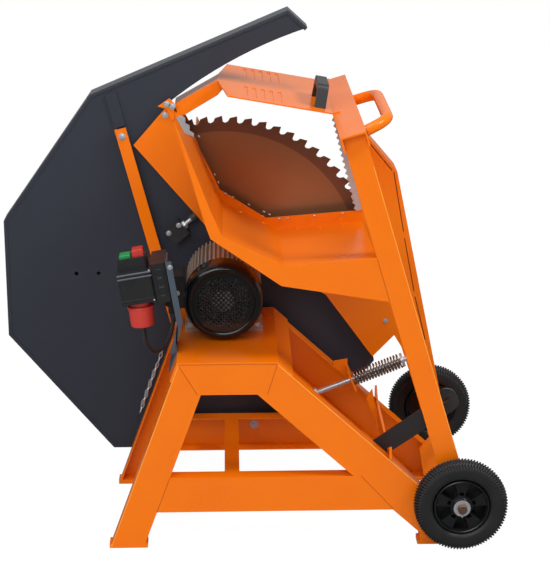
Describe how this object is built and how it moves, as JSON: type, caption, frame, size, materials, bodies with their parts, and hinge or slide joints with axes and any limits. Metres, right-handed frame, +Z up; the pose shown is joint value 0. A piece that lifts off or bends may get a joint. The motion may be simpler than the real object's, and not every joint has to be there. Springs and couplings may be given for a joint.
{
  "type": "tilting firewood saw",
  "caption": "Tilting firewood saw: a motor-driven blade in a tall housing on a channel stand, and a wheeled log cradle that tilts past it.",
  "frame": {"origin": "on the floor, in the middle of the four anchor holes in the foot plates", "axes": "+Z up, +X towards the wheels and the operator's push bar, +Y from the loading end to the blade"},
  "size_m": [1.1056, 0.7225, 1.104],
  "materials": {
    "orange_paint": "satin powder coat",
    "housing_paint": "satin anthracite powder coat",
    "black_paint": "black enamel",
    "zinc_steel": "zinc plated",
    "blade_steel": "ground steel with a brown lacquer",
    "cast_aluminium": "as cast",
    "black_plastic": "fine moulded grain",
    "rubber": "smooth",
    "tyre_rubber": "matt",
    "red_plastic": "smooth",
    "green_plastic": "smooth",
    "brass_pins": "plain"
  },
  "bodies": {
    "stand": {"foot_plates": "orange_paint", "left_legs": "orange_paint", "right_legs": "orange_paint", "top_beams": "orange_paint", "lower_beams": "orange_paint", "tie_tube": "orange_paint", "latch_rail": "orange_paint", "platform": "orange_paint", "bearing_plates": "orange_paint", "axle": "zinc_steel", "axle_fasteners": "zinc_steel", "spring_bracket": "orange_paint", "motor_body": "cast_aluminium", "motor_shield": "cast_aluminium", "fan_cover": "black_paint", "terminal_box": "black_plastic", "housing_front_panel": "housing_paint", "housing_rear_panel": "housing_paint", "housing_rim": "housing_paint", "housing_spacers": "zinc_steel", "strut": "orange_paint", "stop_block": "black_paint", "stop_screw": "zinc_steel", "stop_buffer": "rubber", "switch_bracket": "housing_paint", "switch_box": "black_plastic", "switch_body": "black_plastic", "button_head": "black_plastic", "power_inlet": "red_plastic", "inlet_pins": "brass_pins", "cable_glands": "black_plastic", "motor_cable": "rubber"},
    "cradle": {"front_column": "orange_paint", "far_column": "orange_paint", "near_guard_plate": "orange_paint", "far_guard_plate": "orange_paint", "edge_wall": "orange_paint", "near_trough": "orange_paint", "far_trough": "orange_paint", "aprons": "orange_paint", "cradle_beam": "orange_paint", "hood": "orange_paint", "gripping_strips": "zinc_steel", "bow_handle": "black_plastic", "push_bar": "orange_paint", "cradle_pins": "zinc_steel"},
    "blade_rotor": {"motor_shaft": "zinc_steel", "cooling_fan": "black_plastic", "blade_flanges": "zinc_steel", "saw_blade": "blade_steel", "arbor_nut": "zinc_steel"},
    "front_wheel": {"front_tyre": "tyre_rubber", "front_rim": "black_plastic"},
    "rear_wheel": {"rear_tyre": "tyre_rubber", "rear_rim": "black_plastic"},
    "spring_rod": {"spring_rod": "zinc_steel", "return_spring": "zinc_steel"},
    "latch_lever": {"latch_lever": "black_paint"},
    "start_button": {"start_button": "green_plastic"},
    "stop_button": {"stop_button": "red_plastic"}
  },
  "joints": [
    {"name": "cradle_tilt", "type": "hinge", "parent": "stand", "child": "cradle", "pos_m": [0.36275, 0, 0.106], "axis": [0, 1, 0], "range_deg": [0, 20]},
    {"name": "blade_spin", "type": "hinge", "parent": "stand", "child": "blade_rotor", "pos_m": [-0.14125, 0.248, 0.511], "axis": [0, 1, 0], "continuous": true},
    {"name": "front_wheel_spin", "type": "hinge", "parent": "stand", "child": "front_wheel", "pos_m": [0.36275, -0.2275, 0.106], "axis": [0, 1, 0], "continuous": true},
    {"name": "rear_wheel_spin", "type": "hinge", "parent": "stand", "child": "rear_wheel", "pos_m": [0.36275, 0.3935, 0.106], "axis": [0, 1, 0], "continuous": true},
    {"name": "spring_rod_swing", "type": "hinge", "parent": "cradle", "child": "spring_rod", "pos_m": [0.29075, 0.131, 0.3205], "axis": [0, 1, 0], "range_deg": [-15.6, 0]},
    {"name": "latch_swing", "type": "hinge", "parent": "cradle", "child": "latch_lever", "pos_m": [0.30973, -0.143, 0.285], "axis": [0, 1, 0], "range_deg": [0, 15]},
    {"name": "start_press", "type": "slide", "parent": "stand", "child": "start_button", "axis": [0.1616, 0, -0.9869], "range_m": [0, 0.003], "stiffness_N_per_m": 300, "springref_m": -0.002},
    {"name": "stop_press", "type": "slide", "parent": "stand", "child": "stop_button", "axis": [0.1616, 0, -0.9869], "range_m": [0, 0.003], "stiffness_N_per_m": 300, "springref_m": -0.002}
  ],
  "couplings": [
    {"joint": "spring_rod_swing", "follows": "cradle_tilt", "ratio": -0.778}
  ]
}
